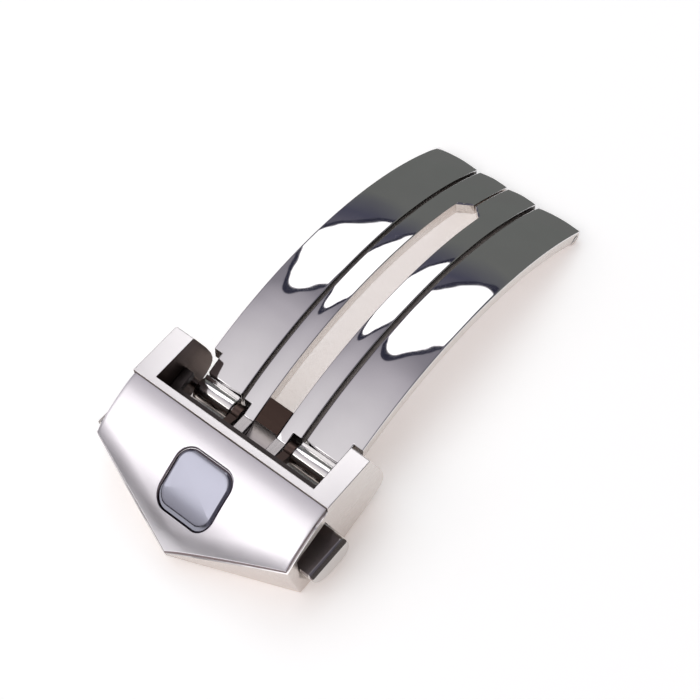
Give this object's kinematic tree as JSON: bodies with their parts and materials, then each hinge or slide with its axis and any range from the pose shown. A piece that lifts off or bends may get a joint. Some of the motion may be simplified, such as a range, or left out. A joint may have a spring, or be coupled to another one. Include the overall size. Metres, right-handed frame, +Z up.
{
  "type": "deployant clasp",
  "caption": "Polished steel deployant clasp for a watch strap, closed, with side push-buttons and a pointed satin cover.",
  "frame": {"origin": "middle of the clasp across and along the strap, at the height of the table it lies on", "axes": "+X across the strap to the side of the right-hand button, +Y along the strap from the cover's point to the far hinge, +Z up from the table"},
  "size_m": [0.0244, 0.0492, 0.009],
  "materials": {
    "satin_steel": "satin, grain across the strap",
    "bright_steel": "mirror polish",
    "plaque_steel": "mirror polish",
    "plain_steel": "plain, as machined"
  },
  "bodies": {
    "blade": {"inner_blade": "bright_steel", "spring_bar_tube": "plain_steel", "spring_bar_spring": "plain_steel"},
    "bar_tip": {"spring_bar_tip": "plain_steel"},
    "arms": {"outer_arm_left": "bright_steel", "outer_arm_right": "bright_steel", "far_hinge_pin": "plain_steel"},
    "head": {"head_frame": "satin_steel", "cover_plate": "satin_steel", "inlay_plaque": "plaque_steel", "strap_plate": "plain_steel", "strap_peg": "plain_steel", "strap_rivet_left": "plain_steel", "strap_rivet_right": "plain_steel", "head_hinge_pin_left": "plain_steel", "head_hinge_pin_right": "plain_steel", "button_spring_left": "plain_steel", "button_spring_right": "plain_steel"},
    "button_left": {"push_button_left": "bright_steel", "latch_hook_left": "plain_steel", "guide_pin_left": "plain_steel"},
    "button_right": {"push_button_right": "bright_steel", "latch_hook_right": "plain_steel", "guide_pin_right": "plain_steel"}
  },
  "joints": [
    {"name": "far_hinge", "type": "hinge", "parent": "blade", "child": "arms", "pos_m": [0, 0.02379, 0.00085], "axis": [-1, 0, 0], "range_deg": [0, 165]},
    {"name": "head_hinge", "type": "hinge", "parent": "arms", "child": "head", "pos_m": [0, -0.01129, 0.0038], "axis": [-1, 0, 0], "range_deg": [0, 75]},
    {"name": "press_left", "type": "slide", "parent": "head", "child": "button_left", "axis": [1, 0, 0], "range_m": [0, 0.0008], "stiffness_N_per_m": 400, "springref_m": -0.0008, "deforming": ["button_spring_left"]},
    {"name": "press_right", "type": "slide", "parent": "head", "child": "button_right", "axis": [-1, 0, 0], "range_m": [0, 0.0008], "stiffness_N_per_m": 400, "springref_m": -0.0008, "deforming": ["button_spring_right"]},
    {"name": "bar_tip_slide", "type": "slide", "parent": "blade", "child": "bar_tip", "axis": [-1, 0, 0], "range_m": [0, 0.00075], "stiffness_N_per_m": 300, "springref_m": -0.0008, "deforming": ["spring_bar_spring"]}
  ]
}
